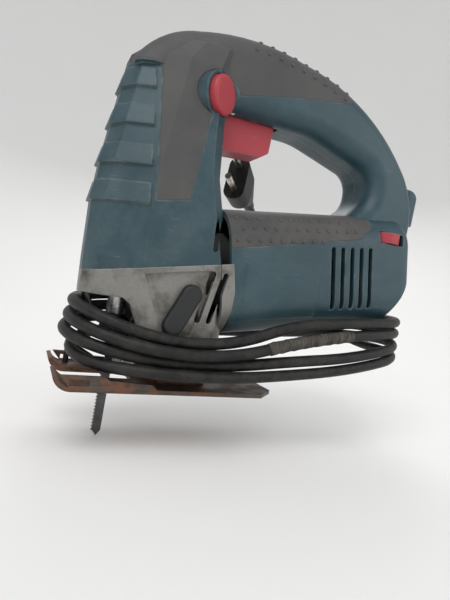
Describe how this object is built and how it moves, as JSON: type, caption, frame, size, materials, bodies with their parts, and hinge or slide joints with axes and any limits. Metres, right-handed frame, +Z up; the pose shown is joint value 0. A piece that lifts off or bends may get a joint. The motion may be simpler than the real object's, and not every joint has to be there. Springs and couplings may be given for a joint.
{
  "type": "jigsaw",
  "caption": "Corded jigsaw with a closed bow handle, steel shoe, orbital lever and speed dial, its mains cord wound round the neck and the plug tucked behind.",
  "frame": {"origin": "on the sole's underside, in the middle of its width, below the saw rod's line", "axes": "+X towards the rear of the tool, +Y to the tool's far side, +Z up from the sole"},
  "size_m": [0.2532, 0.1477, 0.2553],
  "materials": {
    "housing_blue": "fine moulded texture",
    "grip_rubber": "soft matt",
    "red_plastic": "moulded",
    "dark_plastic": "moulded",
    "cast_aluminium": "as cast",
    "base_steel": "zinc plated",
    "bright_steel": "ground",
    "gear_steel": "sintered",
    "black_steel": "blackened",
    "blade_steel": "ground",
    "clamp_black": "satin black",
    "bronze": "sintered",
    "lamination": "stacked sheet",
    "copper": "lacquered wire",
    "carbon": "pressed carbon",
    "cord_rubber": "matt sheath",
    "plug_brass": "plated"
  },
  "bodies": {
    "housing": {"left_shell": "housing_blue", "right_shell": "housing_blue", "handle_grip": "grip_rubber", "motor_pad": "grip_rubber", "brush_holders": "dark_plastic", "switch_module": "dark_plastic", "control_module": "dark_plastic", "gear_housing": "cast_aluminium", "base_plate": "base_steel", "base_saddle": "base_steel", "gear_axle": "bright_steel", "fork_pin": "bright_steel", "trigger_pin": "bright_steel", "dial_axle": "bright_steel", "front_bearing": "bright_steel", "rear_bearing": "bright_steel", "guard_wire": "bright_steel", "shell_screws": "black_steel", "base_screw": "black_steel", "hex_key": "black_steel", "lower_bush": "bronze", "upper_bush": "bronze", "field": "lamination", "field_windings": "copper", "brushes": "carbon", "cord_lead": "cord_rubber", "cord_coil": "cord_rubber", "cord_tail": "cord_rubber", "strain_relief": "cord_rubber", "plug": "cord_rubber", "plug_pins": "plug_brass"},
    "crank": {"crank_gear": "gear_steel", "crank_roller": "bright_steel"},
    "armature": {"armature_shaft": "bright_steel", "armature_stack": "lamination", "armature_windings": "copper", "commutator": "copper", "fan": "dark_plastic"},
    "plunger": {"plunger_rod": "bright_steel", "yoke": "bright_steel", "clamp_body": "black_steel", "blade": "blade_steel"},
    "clamp_sleeve": {"clamp_sleeve": "clamp_black"},
    "orbital_lever": {"orbital_lever": "dark_plastic"},
    "roller_fork": {"roller_fork": "bright_steel", "roller_pin": "bright_steel"},
    "guide_roller": {"guide_roller": "bright_steel"},
    "trigger": {"trigger": "red_plastic"},
    "lock_button": {"lock_button": "red_plastic"},
    "speed_dial": {"speed_dial": "red_plastic"}
  },
  "joints": [
    {"name": "crank_turn", "type": "hinge", "parent": "housing", "child": "crank", "pos_m": [0.0325, 0, 0.09712], "axis": [0.9903, 0, 0.1392], "range_deg": [0, 180]},
    {"name": "motor_spin", "type": "hinge", "parent": "housing", "child": "armature", "pos_m": [0.062, 0, 0.074], "axis": [0.9903, 0, 0.1392], "range_deg": [-1035, 0]},
    {"name": "plunger_stroke", "type": "slide", "parent": "housing", "child": "plunger", "axis": [0.0436, 0, 0.999], "range_m": [0, 0.02]},
    {"name": "clamp_release", "type": "hinge", "parent": "plunger", "child": "clamp_sleeve", "pos_m": [0.00135, 0, 0.03097], "axis": [0.0436, 0, 0.999], "range_deg": [0, 60], "stiffness_Nm_per_rad": 0.05},
    {"name": "orbital_select", "type": "hinge", "parent": "housing", "child": "orbital_lever", "pos_m": [0.029, -0.031, 0.0385], "axis": [0, -1, 0], "range_deg": [0, 38]},
    {"name": "fork_rock", "type": "hinge", "parent": "housing", "child": "roller_fork", "pos_m": [0.02, 0, 0.05], "axis": [0, -1, 0], "range_deg": [0, 4]},
    {"name": "roller_spin", "type": "hinge", "parent": "roller_fork", "child": "guide_roller", "pos_m": [0.01042, 0, 0.014], "axis": [0, 1, 0], "continuous": true},
    {"name": "trigger_pull", "type": "hinge", "parent": "housing", "child": "trigger", "pos_m": [0.055, 0, 0.173], "axis": [0, -1, 0], "range_deg": [0, 8], "stiffness_Nm_per_rad": 0.6},
    {"name": "lock_press", "type": "slide", "parent": "housing", "child": "lock_button", "axis": [-0.6157, 0.788, 0], "range_m": [0, 0.003], "stiffness_N_per_m": 600},
    {"name": "speed_set", "type": "hinge", "parent": "housing", "child": "speed_dial", "pos_m": [0.177, -0.0245, 0.113], "axis": [0, 0, 1], "range_deg": [0, 270]}
  ],
  "couplings": [
    {"joint": "motor_spin", "follows": "crank_turn", "ratio": -5.75},
    {"joint": "plunger_stroke", "follows": "crank_turn", "m_per_rad": 0.0063662}
  ]
}
